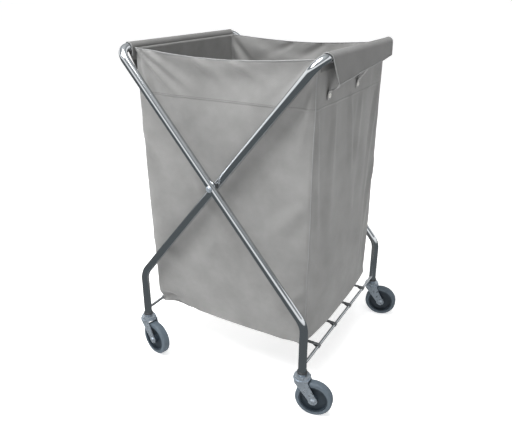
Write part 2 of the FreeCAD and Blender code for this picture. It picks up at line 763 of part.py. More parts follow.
os.makedirs("parts", exist_ok=True)
for label, item in parts.items():
    item.Shape.exportStep(f"parts/{label}.step")
    extent = item.Shape.BoundBox
    low = f"{extent.XMin:.1f} {extent.YMin:.1f} {extent.ZMin:.1f}"
    high = f"{extent.XMax:.1f} {extent.YMax:.1f} {extent.ZMax:.1f}"
    print(f"{label}: {len(item.Shape.Solids)} solids, {item.Shape.Volume:.0f} mm3, {low} to {high}")
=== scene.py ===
import math

import bmesh
import bpy
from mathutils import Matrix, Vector


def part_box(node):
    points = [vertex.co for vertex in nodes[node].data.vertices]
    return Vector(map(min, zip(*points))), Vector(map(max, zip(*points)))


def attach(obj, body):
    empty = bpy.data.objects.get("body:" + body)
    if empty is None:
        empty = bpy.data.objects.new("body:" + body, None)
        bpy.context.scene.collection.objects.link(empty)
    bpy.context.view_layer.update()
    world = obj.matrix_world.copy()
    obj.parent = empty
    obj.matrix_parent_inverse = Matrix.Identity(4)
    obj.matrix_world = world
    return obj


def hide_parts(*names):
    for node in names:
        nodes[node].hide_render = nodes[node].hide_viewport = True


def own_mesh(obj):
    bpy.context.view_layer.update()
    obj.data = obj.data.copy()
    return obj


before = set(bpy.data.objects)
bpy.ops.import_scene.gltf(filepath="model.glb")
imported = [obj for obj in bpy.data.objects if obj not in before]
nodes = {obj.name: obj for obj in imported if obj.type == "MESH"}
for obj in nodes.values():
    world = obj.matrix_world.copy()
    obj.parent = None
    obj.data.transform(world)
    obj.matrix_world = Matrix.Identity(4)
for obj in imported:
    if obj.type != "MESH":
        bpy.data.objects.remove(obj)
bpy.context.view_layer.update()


# The studio: a pale plain floor under two broad soft lights overhead, a weaker one at
# the left, and a camera that looks down at the trolley from its front right corner.

def linear(hex_colour):
    """An sRGB hex colour as the linear colour that Blender's sockets take."""
    channels = [int(hex_colour[place:place + 2], 16) / 255 for place in (1, 3, 5)]
    curved = [c / 12.92 if c <= 0.04045 else ((c + 0.055) / 1.055) ** 2.4 for c in channels]
    return (*curved, 1.0)


def add_node(tree, kind, inputs=None, **settings):
    """Add a node, give it its settings, and fill or link its inputs."""
    node = tree.nodes.new(kind)
    for name, value in settings.items():
        setattr(node, name, value)
    for socket, value in (inputs or {}).items():
        if isinstance(value, bpy.types.NodeSocket):
            tree.links.new(value, node.inputs[socket])
        else:
            node.inputs[socket].default_value = value
    return node


def new_material(name):
    """An empty node material and its output node."""
    material = bpy.data.materials.new(name)
    material.use_nodes = True
    material.node_tree.nodes.clear()
    return material, material.node_tree, add_node(material.node_tree, "ShaderNodeOutputMaterial")


def area_light(name, place, aim, size, power, colour="#ffffff"):
    """A square soft light that faces a point."""
    lamp = bpy.data.lights.new(name, "AREA")
    lamp.size = size
    lamp.energy = power
    lamp.color = linear(colour)[:3]
    holder = bpy.data.objects.new(name, lamp)
    holder.location = place
    holder.rotation_euler = (Vector(aim) - Vector(place)).to_track_quat("-Z", "Y").to_euler()
    bpy.context.scene.collection.objects.link(holder)
    return holder


studio_size = 160.0
floor_mesh = bpy.data.meshes.new("studio_floor")
half = studio_size / 2
floor_corners = [(-half, -half, 0), (half, -half, 0), (half, half, 0), (-half, half, 0)]
floor_mesh.from_pydata(floor_corners, [], [(0, 1, 2, 3)])
studio_floor = bpy.data.objects.new("studio_floor", floor_mesh)
bpy.context.scene.collection.objects.link(studio_floor)
studio_floor.visible_glossy = False

paper, paper_tree, paper_output = new_material("studio_paper")
paper_shader = add_node(paper_tree, "ShaderNodeBsdfPrincipled", {
    "Base Color": linear("#f4f4f4"),
    "Roughness": 0.9,
    "Emission Color": linear("#ffffff"),
    "Emission Strength": 0.6,
})
paper_tree.links.new(paper_shader.outputs[0], paper_output.inputs[0])
floor_mesh.materials.append(paper)

area_light("overhead", (-0.5, -1.5, 2.7), (0, 0, 0.5), 1.0, 58)
area_light("ceiling", (0.15, -0.5, 3.0), (0, 0.05, 0.7), 1.4, 52)
left_window = area_light("left_window", (-2.8, -1.1, 1.5), (0, 0, 0.5), 1.0, 30)
left_window.visible_glossy = False

# The room lights cloth evenly, and its dark lower walls give polished metal dark edges.
room = bpy.data.worlds.new("studio_room")
bpy.context.scene.world = room
room.use_nodes = True
room.node_tree.nodes.clear()
room_place = add_node(room.node_tree, "ShaderNodeTexCoord")
room_axes = add_node(room.node_tree, "ShaderNodeSeparateXYZ", {0: room_place.outputs["Generated"]})
room_ramp = add_node(room.node_tree, "ShaderNodeValToRGB", {0: room_axes.outputs["Z"]})
ramp_stops = room_ramp.color_ramp.elements
ramp_stops[0].position = 0.0
ramp_stops[0].color = linear("#575b5d")
ramp_stops[1].position = 1.0
ramp_stops[1].color = linear("#d3d5d6")
for height, shade in ((0.06, "#dfe0e1"), (0.36, "#ffffff"), (0.47, "#6c7072")):
    ramp_stops.new(height).color = linear(shade)
room_walls = add_node(room.node_tree, "ShaderNodeBackground", {0: room_ramp.outputs[0], 1: 1.45})
room_glow = add_node(room.node_tree, "ShaderNodeBackground", {0: linear("#ffffff"), 1: 0.42})
room_seen = add_node(room.node_tree, "ShaderNodeLightPath")
room_mix = add_node(room.node_tree, "ShaderNodeMixShader", {
    0: room_seen.outputs["Is Glossy Ray"],
    1: room_glow.outputs[0],
    2: room_walls.outputs[0],
})
room_backdrop = add_node(room.node_tree, "ShaderNodeBackground", {0: linear("#ffffff"), 1: 1.0})
room_shown = add_node(room.node_tree, "ShaderNodeMixShader", {
    0: room_seen.outputs["Is Camera Ray"],
    1: room_mix.outputs[0],
    2: room_backdrop.outputs[0],
})
add_node(room.node_tree, "ShaderNodeOutputWorld", {0: room_shown.outputs[0]})

bpy.context.scene.view_settings.view_transform = "Standard"

camera_turn = math.radians(29.4)
camera_rise = math.radians(22.9)
camera_distance = 1.69
camera_target = Vector((-0.031, 0.0, 0.389))
camera_direction = Vector((
    math.sin(camera_turn) * math.cos(camera_rise),
    -math.cos(camera_turn) * math.cos(camera_rise),
    math.sin(camera_rise),
))
camera_data = bpy.data.cameras.new("camera")
camera_data.lens = 39.0
camera_data.sensor_width = 36.0
camera = bpy.data.objects.new("camera", camera_data)
camera.location = camera_target + camera_direction * camera_distance
camera.rotation_euler = (-camera_direction).to_track_quat("-Z", "Y").to_euler()
bpy.context.scene.collection.objects.link(camera)
bpy.context.scene.camera = camera


# The two frames: each one U of round steel tube, bent cold and chrome plated, with a thin
# plated rod welded between its feet. They cross at the front and at the back.

def paint(material, *names):
    """Give CAD nodes one material."""
    for name in names:
        nodes[name].data.materials.clear()
        nodes[name].data.materials.append(material)


def soften_edges(width, *names):
    """Round the sharp edges of CAD nodes as pressing, turning or plating leaves them."""
    for name in names:
        bevel = nodes[name].modifiers.new("soft_edges", "BEVEL")
        bevel.width = width
        bevel.segments = 2
        bevel.limit_method = "ANGLE"
        bevel.angle_limit = math.radians(40)
        bevel.harden_normals = False


# Chrome plate over polished steel: almost a mirror, slightly blue, with faint wiping marks
# that only change how sharp the reflection is.
chrome, chrome_tree, chrome_output = new_material("polished_chrome_plate")
chrome_place = add_node(chrome_tree, "ShaderNodeTexCoord")
chrome_marks = add_node(chrome_tree, "ShaderNodeTexNoise", {
    "Vector": chrome_place.outputs["Object"],
    "Scale": 45.0,
    "Detail": 4.0,
})
chrome_roughness = add_node(chrome_tree, "ShaderNodeMapRange", {
    "Value": chrome_marks.outputs[0],
    "From Min": 0.35,
    "From Max": 0.75,
    "To Min": 0.07,
    "To Max": 0.16,
})
chrome_shader = add_node(chrome_tree, "ShaderNodeBsdfPrincipled", {
    "Base Color": linear("#c2c5c8"),
    "Metallic": 1.0,
    "Roughness": chrome_roughness.outputs[0],
})
chrome_tree.links.new(chrome_shader.outputs[0], chrome_output.inputs[0])
paint(chrome, "outer_bottom_rod", "inner_bottom_rod")


def round_bar(name, path, radius, roundness, material):
    """A round tube, wire or sewn bead that follows points, as a smooth mesh."""
    curve = bpy.data.curves.new(name, "CURVE")
    curve.dimensions = "3D"
    curve.bevel_depth = radius
    curve.bevel_resolution = roundness
    spline = curve.splines.new("POLY")
    spline.points.add(len(path) - 1)
    for point, spot in zip(spline.points, path):
        point.co = (*spot, 1)
    shape = bpy.data.objects.new(name + "_shape", curve)
    bpy.context.scene.collection.objects.link(shape)
    depsgraph = bpy.context.evaluated_depsgraph_get()
    mesh = bpy.data.meshes.new_from_object(shape.evaluated_get(depsgraph))
    bpy.data.objects.remove(shape)
    mesh.name = name
    mesh.materials.clear()
    mesh.materials.append(material)
    for face in mesh.polygons:
        face.use_smooth = True
    piece = bpy.data.objects.new(name, mesh)
    bpy.context.scene.collection.objects.link(piece)
    return piece


def bent_line(corners, bends, steps=14):
    """The middle line of a bent tube: straight runs joined by round bends."""
    line = [corners[0]]
    for before, corner, after, bend in zip(corners, corners[1:], corners[2:], bends):
        back, ahead = (before - corner).normalized(), (after - corner).normalized()
        half_angle = back.angle(ahead) / 2
        middle = corner + (back + ahead).normalized() * (bend / math.sin(half_angle))
        start = (corner + back * (bend / math.tan(half_angle)) - middle).normalized()
        end = (corner + ahead * (bend / math.tan(half_angle)) - middle).normalized()
        line += [middle + bend * start.slerp(end, step / steps) for step in range(steps + 1)]
    return line + [corners[-1]]


tube_radius = 0.011
knee_bend = 0.060
corner_bend = 0.035
knee_height = 0.262
foot_across = 0.264
rail_across = 0.265
for frame_name, side in (("outer", -1), ("inner", 1)):
    low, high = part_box(f"{frame_name}_frame_tube")
    leg_depth = high.y - tube_radius
    top = high.z - tube_radius
    half_frame = [
        Vector((-side * foot_across, -leg_depth, low.z)),
        Vector((-side * foot_across, -leg_depth, knee_height)),
        Vector((side * rail_across, -leg_depth, top)),
    ]
    corners = half_frame + [Vector((spot.x, -spot.y, spot.z)) for spot in reversed(half_frame)]
    line = bent_line(corners, (knee_bend, corner_bend, corner_bend, knee_bend))
    tube = round_bar(f"{frame_name}_bent_tube", line, tube_radius, 7, chrome)
    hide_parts(f"{frame_name}_frame_tube")
    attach(tube, f"{frame_name}_frame")


# The scissor pivots: a domed bolt through both tubes, a nylon spacer between them and a
# thin lock nut inside, all plated steel but for the spacer.

# Passivated zinc on steel: a soft bluish coat, partly cloudy, duller than chrome, with a
# fine mottled grain.
zinc, zinc_tree, zinc_output = new_material("bright_zinc_plate")
zinc_place = add_node(zinc_tree, "ShaderNodeTexCoord")
zinc_grain = add_node(zinc_tree, "ShaderNodeTexNoise", {
    "Vector": zinc_place.outputs["Object"],
    "Scale": 130.0,
    "Detail": 3.0,
})
zinc_colour = add_node(zinc_tree, "ShaderNodeMix", {
    0: zinc_grain.outputs[0],
    6: linear("#a8b1ba"),
    7: linear("#bec7d0"),
}, data_type="RGBA")
zinc_roughness = add_node(zinc_tree, "ShaderNodeMapRange", {
    "Value": zinc_grain.outputs[0],
    "From Min": 0.3,
    "From Max": 0.7,
    "To Min": 0.24,
    "To Max": 0.38,
})
zinc_shader = add_node(zinc_tree, "ShaderNodeBsdfPrincipled", {
    "Base Color": zinc_colour.outputs[2],
    "Metallic": 0.72,
    "Roughness": zinc_roughness.outputs[0],
})
zinc_tree.links.new(zinc_shader.outputs[0], zinc_output.inputs[0])


def moulded_plastic(name, colour, roughness):
    """Injection-moulded plastic: even colour, satin from the mould's fine texture."""
    material, tree, output = new_material(name)
    place = add_node(tree, "ShaderNodeTexCoord")
    # the mould's texture is drawn at 1.2 mm, coarser than the real 0.1 mm, so that it shows
    texture = add_node(tree, "ShaderNodeTexNoise", {
        "Vector": place.outputs["Object"],
        "Scale": 1 / 0.0012,
        "Detail": 2.0,
    })
    bump = add_node(tree, "ShaderNodeBump", {
        "Strength": 0.12,
        "Distance": 0.0002,
        "Height": texture.outputs[0],
    })
    patches = add_node(tree, "ShaderNodeTexNoise", {
        "Vector": place.outputs["Object"],
        "Scale": 35.0,
        "Detail": 3.0,
    })
    finish = add_node(tree, "ShaderNodeMapRange", {
        "Value": patches.outputs[0],
        "From Min": 0.3,
        "From Max": 0.7,
        "To Min": roughness - 0.06,
        "To Max": roughness + 0.08,
    })
    shader = add_node(tree, "ShaderNodeBsdfPrincipled", {
        "Base Color": linear(colour),
        "Roughness": finish.outputs[0],
        "IOR": 1.5,
        "Normal": bump.outputs[0],
    })
    tree.links.new(shader.outputs[0], output.inputs[0])
    return material


nylon = moulded_plastic("moulded_dark_nylon", "#3a3c3e", 0.45)
pivot_ends = ("front", "rear")
for end in pivot_ends:
    paint(zinc, f"{end}_pivot_bolt", f"{end}_pivot_nut")
    paint(nylon, f"{end}_pivot_spacer")
    soften_edges(0.0008, f"{end}_pivot_bolt", f"{end}_pivot_nut")


# Four stem castors: zinc-plated pressed forks on a ball race, with dark moulded wheels in
# blue-grey rubber tyres. A nylon bush holds each stem in the tube's end.

castor_names = ("front_right", "rear_right", "front_left", "rear_left")

# Non-marking rubber: matt, faintly mottled, a little paler where the tread has scuffed.
tyre_rubber, rubber_tree, rubber_output = new_material("grey_castor_rubber")
rubber_place = add_node(rubber_tree, "ShaderNodeTexCoord")
rubber_scuffs = add_node(rubber_tree, "ShaderNodeTexNoise", {
    "Vector": rubber_place.outputs["Object"],
    "Scale": 120.0,
    "Detail": 6.0,
    "Roughness": 0.7,
})
rubber_colour = add_node(rubber_tree, "ShaderNodeMix", {
    0: rubber_scuffs.outputs[0],
    6: linear("#434e57"),
    7: linear("#5d6973"),
}, data_type="RGBA")
rubber_bump = add_node(rubber_tree, "ShaderNodeBump", {
    "Strength": 0.2,
    "Distance": 0.0003,
    "Height": rubber_scuffs.outputs[0],
})
rubber_shader = add_node(rubber_tree, "ShaderNodeBsdfPrincipled", {
    "Base Color": rubber_colour.outputs[2],
    "Roughness": 0.62,
    "IOR": 1.52,
    "Normal": rubber_bump.outputs[0],
})
rubber_tree.links.new(rubber_shader.outputs[0], rubber_output.inputs[0])

wheel_plastic = moulded_plastic("moulded_wheel_plastic", "#2d3740", 0.4)

for castor in castor_names:
    paint(zinc, f"{castor}_castor_fork", f"{castor}_race_cup", f"{castor}_castor_stem")
    paint(zinc, f"{castor}_race_balls", f"{castor}_axle_bolt", f"{castor}_axle_nut")
    paint(nylon, f"{castor}_leg_bush")
    paint(wheel_plastic, f"{castor}_wheel")
    paint(tyre_rubber, f"{castor}_tyre")
    soften_edges(0.0007, f"{castor}_castor_fork", f"{castor}_race_cup")
    soften_edges(0.0006, f"{castor}_axle_bolt", f"{castor}_axle_nut", f"{castor}_leg_bush")
    soften_edges(0.0008, f"{castor}_wheel")


# The bag: one square, open-topped sack of grey coated canvas, sewn from four walls and a
# floor. It hangs from its two sides, so the front and back edges sag between the rails.

left_low, left_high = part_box("bag_left_side")
right_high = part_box("bag_right_side")[1]
front_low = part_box("bag_front")[0]
rear_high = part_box("bag_rear")[1]
floor_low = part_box("bag_floor")[0]
strap_low, strap_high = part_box("base_straps")
flap_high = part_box("right_flap")[1]

canvas_thickness = 0.0011
cell = 0.0118
top_left = left_low.x + 0.0014
top_right = right_high.x - 0.0014
floor_left = left_low.x + 0.017
floor_right = right_high.x - 0.005
wall_front = front_low.y + 0.002
wall_rear = rear_high.y - 0.002
rim_height = flap_high.z - 0.0148
edge_dip = 0.009
floor_level = floor_low.z + 0.0005

columns_across = round((top_right - top_left) / cell)
columns_deep = round((wall_rear - wall_front) / cell)
rows = round((rim_height - floor_level) / cell)


def wall_spot(side, share, up):
    """A point of a wall before it sags: share runs along the side, up from floor to rim."""
    left = floor_left + (top_left - floor_left) * up
    right = floor_right + (top_right - floor_right) * up
    dip = edge_dip * 4 * share * (1 - share) * up ** 3
    level = floor_level + (rim_height - floor_level) * up
    if side == 0:
        return Vector((left + (right - left) * share, wall_front, level - dip))
    if side == 1:
        return Vector((right, wall_front + (wall_rear - wall_front) * share, level))
    if side == 2:
        return Vector((right + (left - right) * share, wall_rear, level - dip))
    return Vector((left, wall_rear + (wall_front - wall_rear) * share, level))


side_columns = (columns_across, columns_deep, columns_across, columns_deep)
ring = [(side, step / count) for side, count in enumerate(side_columns) for step in range(count)]
ring_length = len(ring)
points = [wall_spot(side, share, row / rows) for row in range(rows + 1) for side, share in ring]
faces = []
for row in range(rows):
    for place in range(ring_length):
        after = (place + 1) % ring_length
        low_row, high_row = row * ring_length, (row + 1) * ring_length
        faces.append((low_row + place, low_row + after, high_row + after, high_row + place))

floor_index = {}
for across in range(columns_across + 1):
    for deep in range(columns_deep + 1):
        if deep == 0:
            floor_index[across, deep] = across
        elif across == columns_across:
            floor_index[across, deep] = columns_across + deep
        elif deep == columns_deep:
            floor_index[across, deep] = 2 * columns_across + columns_deep - across
        elif across == 0:
            floor_index[across, deep] = ring_length - deep
        else:
            floor_index[across, deep] = len(points)
            start = points[across]
            points.append(Vector((start.x, points[ring_length - deep].y, floor_level)))
for across in range(columns_across):
    for deep in range(columns_deep):
        faces.append((
            floor_index[across, deep],
            floor_index[across, deep + 1],
            floor_index[across + 1, deep + 1],
            floor_index[across + 1, deep],
        ))

bag_mesh = bpy.data.meshes.new("bag_body")
bag_mesh.from_pydata(points, [], faces)
bag_mesh.update()
bag = bpy.data.objects.new("bag_body", bag_mesh)
bpy.context.scene.collection.objects.link(bag)

# canvas coordinates in metres, so that the weave keeps its real size on every wall
canvas_map = bag_mesh.uv_layers.new(name="canvas")
ring_reach = [0.0]
for place in range(1, ring_length + 1):
    ring_reach.append(ring_reach[-1] + (points[place % ring_length] - points[place - 1]).length)
for face in bag_mesh.polygons:
    on_floor = face.index >= rows * ring_length
    for order, corner in enumerate(face.loop_indices):
        spot = bag_mesh.vertices[bag_mesh.loops[corner].vertex_index].co
        if on_floor:
            canvas_map.data[corner].uv = (spot.x, spot.y)
        else:
            place = face.index % ring_length + (1 if order in (1, 2) else 0)
            canvas_map.data[corner].uv = (ring_reach[place], spot.z)


def hang_cloth(piece, held_points, frames, slack):
    """Let gravity settle a sheet that is held at some points, and keep the result."""
    held = piece.vertex_groups.new(name="held")
    held.add(held_points, 1.0, "REPLACE")
    cloth = piece.modifiers.new("hang", "CLOTH")
    settings = cloth.settings
    settings.quality = 10
    settings.mass = 0.12
    settings.air_damping = 3.0
    settings.tension_stiffness = 120
    settings.compression_stiffness = 60
    settings.shear_stiffness = 40
    settings.bending_stiffness = 4.0
    settings.tension_damping = 12
    settings.compression_damping = 12
    settings.shear_damping = 10
    settings.bending_damping = 0.8
    settings.vertex_group_mass = held.name
    settings.shrink_min = -slack
    cloth.collision_settings.use_collision = True
    cloth.collision_settings.distance_min = 0.001
    cloth.point_cache.frame_end = frames
    scene = bpy.context.scene
    for step in range(1, frames + 1):
        scene.frame_set(step)
    with bpy.context.temp_override(object=piece, active_object=piece, selected_objects=[piece]):
        bpy.ops.object.modifier_apply(modifier=cloth.name)
    scene.frame_set(1)


rim_row = rows * ring_length
right_rim = range(columns_across, columns_across + columns_deep + 1)
left_rim = list(range(2 * columns_across + columns_deep, ring_length)) + [0]
held_rim = [rim_row + place for place in list(right_rim) + left_rim]

# the webbing under the floor carries it during the simulation
rest_mesh = bpy.data.meshes.new("floor_rest")
rest_half = 0.35
rest_level = strap_high.z
rest_corners = [
    (-rest_half, -rest_half, rest_level),
    (rest_half, -rest_half, rest_level),
    (rest_half, rest_half, rest_level),
    (-rest_half, rest_half, rest_level),
]
rest_mesh.from_pydata(rest_corners, [], [(0, 1, 2, 3)])
floor_rest = bpy.data.objects.new("floor_rest", rest_mesh)
bpy.context.scene.collection.objects.link(floor_rest)
floor_rest.modifiers.new("solid", "COLLISION")
hang_cloth(bag, held_rim, 30, 0.0015)
bpy.data.objects.remove(floor_rest)

# the seams at the two pivots stay clear of the lock nuts inside the crossing
nut_clearance = 0.0012
wall_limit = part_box("front_pivot_nut")[1].y + nut_clearance
for vertex in bag_mesh.vertices:
    vertex.co.y = max(wall_limit, min(-wall_limit, vertex.co.y))

# one subdivision gives the folds enough points to be pressed into the settled walls
finer = bag.modifiers.new("finer", "SUBSURF")
finer.levels = 1
with bpy.context.temp_override(object=bag, active_object=bag, selected_objects=[bag]):
    bpy.ops.object.modifier_apply(modifier=finer.name)

# Pulled folds, each as (start, end, width, height) in millimetres along the wall and up:
# they run from a corner, where the bag's weight hangs, into the slack cloth.
front_folds = (
    (-249, 897, -112, 786, 7, 13.0),
    (-246, 905, -52, 796, 9, 10.0),
    (-232, 880, -196, 738, 9, 6.0),
    (-70, 884, 66, 800, 11, 6.5),
    (30, 882, 165, 822, 9, 5.0),
    (242, 882, 96, 704, 12, 7.0),
    (246, 850, 205, 640, 10, 5.5),
    (-248, 700, -30, 470, 22, 6.0),
    (-90, 590, 130, 250, 20, 6.0),
    (-236, 380, 40, 190, 22, 5.5),
    (238, 560, 60, 380, 20, 6.0),
    (244, 330, 80, 190, 16, 5.0),
    (-20, 420, -160, 230, 22, 5.0),
)
side_folds = (
    (-226, 800, -170, 330, 11, 4.5),
    (-120, 830, -130, 420, 12, 4.5),
    (-30, 840, 50, 330, 14, 5.0),
    (70, 850, 30, 470, 11, 4.5),
    (215, 830, 110, 280, 14, 6.0),
    (228, 560, 140, 200, 12, 5.0),
    (-222, 430, -50, 190, 20, 4.0),
)


def fold_height(along, up, folds):
    """How far the folds lift the cloth at a place on the wall, in metres."""
    lift = 0.0
    for x0, z0, x1, z1, width, height in folds:
        start = Vector((x0, z0)) / 1000
        run = Vector((x1, z1)) / 1000 - start
        spot = Vector((along, up)) - start
        share = max(0.0, min(1.0, spot.dot(run) / run.length_squared))
        away = (spot - run * share).length / (width / 1000 * (0.6 + share))
        fade = (1 - share) ** 0.6 * min(1.0, 0.35 + share * 6)
        crest_and_valley = math.exp(-away * away) - 0.35 * math.exp(-(away - 2) ** 2)
        lift += height / 1000 * fade * crest_and_valley
    return lift


# the walls hang flat behind the tabs
tab_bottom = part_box("right_tabs")[0].z
flat_margin = 0.012
cloth_half = 0.0008
for vertex in bag_mesh.vertices:
    if vertex.co.z > tab_bottom - flat_margin:
        vertex.co.x = max(left_low.x + cloth_half, min(right_high.x - cloth_half, vertex.co.x))

side_near = 0.02
front_share, rear_share, left_share = 0.9, 0.6, 0.7
for vertex in bag_mesh.vertices:
    x, y, z = vertex.co
    if z < floor_level + 0.02:
        continue
    if y < wall_front + side_near:
        vertex.co.y -= fold_height(x, z, front_folds) * front_share
    if y > wall_rear - side_near:
        vertex.co.y += fold_height(-x, z, front_folds) * rear_share
    below_tabs = max(0.0, min(1.0, (tab_bottom - 0.004 - z) / 0.06))
    if x > right_high.x - side_near:
        vertex.co.x += fold_height(y, z, side_folds) * below_tabs
    if x < floor_left + side_near and abs(y) < wall_rear - 0.004:
        vertex.co.x -= fold_height(-y, z, side_folds) * below_tabs * left_share

# folds stop short of the legs outside them, and of the pivots' lock nuts
leg_limit = wall_rear + 0.0080
nut_reach = 0.03
pivot = sum(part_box("front_pivot_nut"), Vector()) / 2
for vertex in bag_mesh.vertices:
    beside_nut = math.hypot(vertex.co.x - pivot.x, vertex.co.z - pivot.z) < nut_reach
    limit = -wall_limit if beside_nut else leg_limit
    vertex.co.y = max(-limit, min(limit, vertex.co.y))
for face in bag_mesh.polygons:
    face.use_smooth = True

cloth_body = bag.modifiers.new("cloth_thickness", "SOLIDIFY")
cloth_body.thickness = canvas_thickness
cloth_body.offset = 0.0


def woven_cloth(name, light, dark, thread, hem_level=None):
    """Coated plain-weave cloth whose threads follow the cut, with its stitched hem line."""
    material, tree, output = new_material(name)
    cut = add_node(tree, "ShaderNodeUVMap", uv_map="canvas")
    turns = math.pi / thread
    warp_and_weft = []
    axes = add_node(tree, "ShaderNodeSeparateXYZ", {0: cut.outputs[0]})
    for axis in ("X", "Y"):
        turn = add_node(tree, "ShaderNodeMath", {
            0: axes.outputs[axis],
            1: turns,
        }, operation="MULTIPLY")
        wave = add_node(tree, "ShaderNodeMath", {0: turn.outputs[0]}, operation="SINE")
        warp_and_weft.append(wave.outputs[0])
    weave = add_node(tree, "ShaderNodeMath", dict(enumerate(warp_and_weft)), operation="MULTIPLY")
    slubs = add_node(tree, "ShaderNodeTexNoise", {
        "Vector": cut.outputs[0],
        "Scale": 420.0,
        "Detail": 3.0,
    })
    relief = add_node(tree, "ShaderNodeMath", {
        0: weave.outputs[0],
        1: slubs.outputs[0],
    }, operation="ADD")
    weave_bump = add_node(tree, "ShaderNodeBump", {
        "Strength": 0.3,
        "Distance": 0.0004,
        "Height": relief.outputs[0],
    })
    clouds = add_node(tree, "ShaderNodeTexNoise", {
        "Vector": cut.outputs[0],
        "Scale": 9.0,
        "Detail": 5.0,
        "Roughness": 0.6,
    })
    cloud_range = add_node(tree, "ShaderNodeMapRange", {
        "Value": clouds.outputs[0],
        "From Min": 0.32,
        "From Max": 0.68,
    })
    colour = add_node(tree, "ShaderNodeMix", {
        0: cloud_range.outputs[0],
        6: linear(dark),
        7: linear(light),
    }, data_type="RGBA")
    last_colour, last_normal = colour.outputs[2], weave_bump.outputs[0]
    if hem_level:
        # the turned hem stands 1 mm proud and ends at a row of 5 mm stitches; thread that
        # is really 0.4 mm thick is drawn at 1.6 mm so that the row shows
        step = add_node(tree, "ShaderNodeMapRange", {
            "Value": axes.outputs["Y"],
            "From Min": hem_level - 0.0015,
            "From Max": hem_level + 0.0015,
        })
        hem_bump = add_node(tree, "ShaderNodeBump", {
            "Strength": 1.0,
            "Distance": 0.0012,
            "Height": step.outputs[0],
            "Normal": last_normal,
        })
        last_normal = hem_bump.outputs[0]
        stitch_turn = add_node(tree, "ShaderNodeMath", {
            0: axes.outputs["X"],
            1: math.tau / 0.005,
        }, operation="MULTIPLY")
        stitch_wave = add_node(tree, "ShaderNodeMath", {
            0: stitch_turn.outputs[0],
        }, operation="SINE")
        stitch_on = add_node(tree, "ShaderNodeMath", {
            0: stitch_wave.outputs[0],
            1: -0.3,
        }, operation="GREATER_THAN")
        stitch_row = add_node(tree, "ShaderNodeMath", {
            0: axes.outputs["Y"],
            1: hem_level + 0.004,
            2: 0.0008,
        }, operation="COMPARE")
        stitch = add_node(tree, "ShaderNodeMath", {
            0: stitch_on.outputs[0],
            1: stitch_row.outputs[0],
        }, operation="MULTIPLY")
        stitch_colour = add_node(tree, "ShaderNodeMix", {
            0: stitch.outputs[0],
            6: last_colour,
            7: linear("#5f6060"),
        }, data_type="RGBA")
        last_colour = stitch_colour.outputs[2]
    shader = add_node(tree, "ShaderNodeBsdfPrincipled", {
        "Base Color": last_colour,
        "Roughness": 0.78,
        "IOR": 1.45,
        "Sheen Weight": 0.18,
        "Sheen Roughness": 0.5,
        "Normal": last_normal,
    })
    tree.links.new(shader.outputs[0], output.inputs[0])
    return material


# Coated cotton-polyester canvas: matt grey, slightly cloudy where the coating varies. The
# threads are really 0.5 mm apart and are drawn 2 mm apart so that the weave shows.
hem_level = 0.788
canvas = woven_cloth("grey_coated_canvas", "#828281", "#737372", 0.002, hem_level)
bag_mesh.materials.append(canvas)
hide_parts("bag_front", "bag_rear", "bag_left_side", "bag_right_side", "bag_floor")
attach(bag, "bag")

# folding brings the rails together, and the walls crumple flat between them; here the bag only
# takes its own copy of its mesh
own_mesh(bag)


# The bag's seams: the four walls and the floor are sewn edge to edge, and each joint is
# bound with a narrow tape of the same canvas, which stands out as a thin cord.

# Narrow canvas tape, a little paler than the walls where it is worn, with ribs 2 mm apart
# across it, drawn that coarse so that they show.
tape, tape_tree, tape_output = new_material("canvas_edge_tape")
tape_place = add_node(tape_tree, "ShaderNodeTexCoord")
tape_ribs = add_node(tape_tree, "ShaderNodeTexNoise", {
    "Vector": tape_place.outputs["Object"],
    "Scale": 500.0,
    "Detail": 2.0,
})
tape_colour = add_node(tape_tree, "ShaderNodeMix", {
    0: tape_ribs.outputs[0],
    6: linear("#737474"),
    7: linear("#8f9090"),
}, data_type="RGBA")
tape_bump = add_node(tape_tree, "ShaderNodeBump", {
    "Strength": 0.4,
    "Distance": 0.0004,
    "Height": tape_ribs.outputs[0],
})
tape_shader = add_node(tape_tree, "ShaderNodeBsdfPrincipled", {
    "Base Color": tape_colour.outputs[2],
    "Roughness": 0.75,
    "IOR": 1.45,
    "Sheen Weight": 0.2,
    "Normal": tape_bump.outputs[0],
})
tape_tree.links.new(tape_shader.outputs[0], tape_output.inputs[0])


def ring_points(row):
    """The settled bag's own points round one level of its walls."""
    return [bag_mesh.vertices[row * ring_length + place].co.copy() for place in range(ring_length)]


corner_columns = {
    "front_left": 0,
    "front_right": columns_across,
    "rear_right": columns_across + columns_deep,
    "rear_left": 2 * columns_across + columns_deep,
}
seam_radius = 0.0013
levels = [ring_points(row) for row in range(rows + 1)]
bag_cords = []
for corner, column in corner_columns.items():
    path = [level[column] for level in levels]
    bag_cords.append(round_bar(f"{corner}_corner_seam", path, seam_radius, 2, tape))
bottom = levels[0]
bottom_path = bottom + bottom[:1]
bottom_radius = 0.0018
bag_cords.append(round_bar("bottom_seam", bottom_path, bottom_radius, 2, tape))
front_rim = levels[-1][:columns_across + 1]
rear_rim = levels[-1][columns_across + columns_deep:2 * columns_across + columns_deep + 1]
hem_radius = 0.0015
bag_cords.append(round_bar("front_rim_hem", front_rim, hem_radius, 2, tape))
bag_cords.append(round_bar("rear_rim_hem", rear_rim, hem_radius, 2, tape))
for cord_piece in bag_cords:
    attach(cord_piece, "bag")
    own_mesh(cord_piece)


# The rail flaps: at each side the bag's canvas goes up, turns over the rail and hangs down
# outside it, longest at the front. Its free edge is turned and sewn, and stands stiffly.

rail_height = flap_high.z - 0.0135
arch_radius = 0.01275
front_drop = 0.060
rear_drop = 0.034
front_sweep = 0.042
inner_rise = 0.030
length_steps = 72
arch_steps = 18
leg_steps = 10


